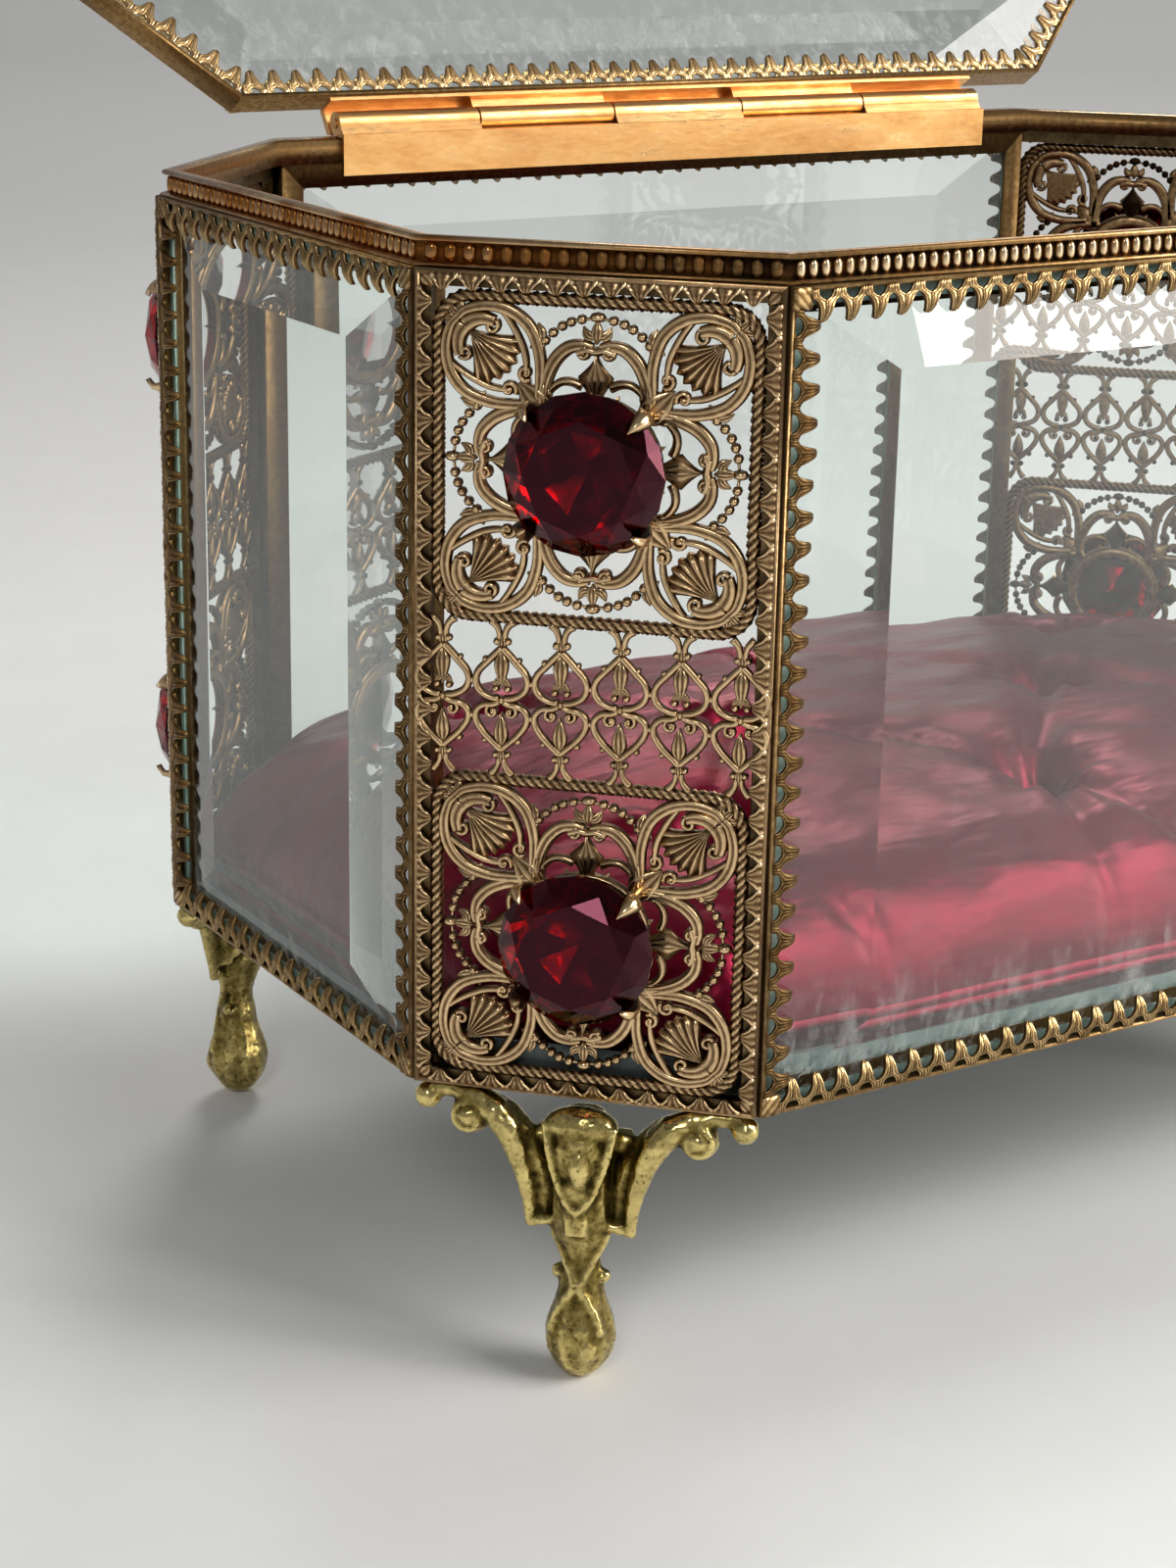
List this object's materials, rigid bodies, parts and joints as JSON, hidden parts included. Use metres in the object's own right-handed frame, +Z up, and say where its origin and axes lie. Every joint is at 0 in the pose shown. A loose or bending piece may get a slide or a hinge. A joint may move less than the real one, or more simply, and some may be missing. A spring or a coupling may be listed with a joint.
{
  "type": "bridal casket",
  "caption": "Footed octagonal keepsake box of bevelled glass and gilt filigree, with red faceted stones, a tufted satin cushion and a hinged glass lid.",
  "frame": {"origin": "on the floor, in the middle of the four toes", "axes": "+X along the length to the right of a viewer in front, +Y from front to back, +Z up"},
  "size_m": [0.173, 0.1766, 0.2171],
  "materials": {
    "gilt_strip": "worn gilt with brown patina in the folds",
    "filigree_brass": "cast openwork, bright ridges and dark hollows",
    "cast_brass": "greenish yellow casting with dark pits",
    "tray_zinc": "dull grey sheet",
    "bevelled_glass": "clear, polished, faint green at the edges",
    "ruby_glass": "polished facets",
    "burgundy_satin": "satin, soft sheen"
  },
  "bodies": {
    "casket": {"base_tray": "tray_zinc", "front_glass": "bevelled_glass", "front_claw_frame": "gilt_strip", "right_glass": "bevelled_glass", "right_claw_frame": "gilt_strip", "back_glass": "bevelled_glass", "back_claw_frame": "gilt_strip", "left_glass": "bevelled_glass", "left_claw_frame": "gilt_strip", "front_right_corner_frame": "gilt_strip", "front_right_lower_rosette": "filigree_brass", "front_right_lower_stone": "ruby_glass", "front_right_lower_setting": "filigree_brass", "front_right_upper_rosette": "filigree_brass", "front_right_upper_stone": "ruby_glass", "front_right_upper_setting": "filigree_brass", "front_right_lattice": "filigree_brass", "front_right_foot": "cast_brass", "back_right_corner_frame": "gilt_strip", "back_right_lower_rosette": "filigree_brass", "back_right_lower_stone": "ruby_glass", "back_right_lower_setting": "filigree_brass", "back_right_upper_rosette": "filigree_brass", "back_right_upper_stone": "ruby_glass", "back_right_upper_setting": "filigree_brass", "back_right_lattice": "filigree_brass", "back_right_foot": "cast_brass", "back_left_corner_frame": "gilt_strip", "back_left_lower_rosette": "filigree_brass", "back_left_lower_stone": "ruby_glass", "back_left_lower_setting": "filigree_brass", "back_left_upper_rosette": "filigree_brass", "back_left_upper_stone": "ruby_glass", "back_left_upper_setting": "filigree_brass", "back_left_lattice": "filigree_brass", "back_left_foot": "cast_brass", "front_left_corner_frame": "gilt_strip", "front_left_lower_rosette": "filigree_brass", "front_left_lower_stone": "ruby_glass", "front_left_lower_setting": "filigree_brass", "front_left_upper_rosette": "filigree_brass", "front_left_upper_stone": "ruby_glass", "front_left_upper_setting": "filigree_brass", "front_left_lattice": "filigree_brass", "front_left_foot": "cast_brass", "top_rim": "gilt_strip", "cushion": "burgundy_satin", "casket_hinge_leaf": "gilt_strip", "hinge_pin": "gilt_strip"},
    "lid": {"lid_glass": "bevelled_glass", "lid_frame": "gilt_strip", "lid_hinge_leaf": "gilt_strip"}
  },
  "joints": [
    {"name": "lid_hinge", "type": "hinge", "parent": "casket", "child": "lid", "pos_m": [0, 0.0551, 0.1233], "axis": [-1, 0, 0], "range_deg": [-123.5, 0]}
  ]
}
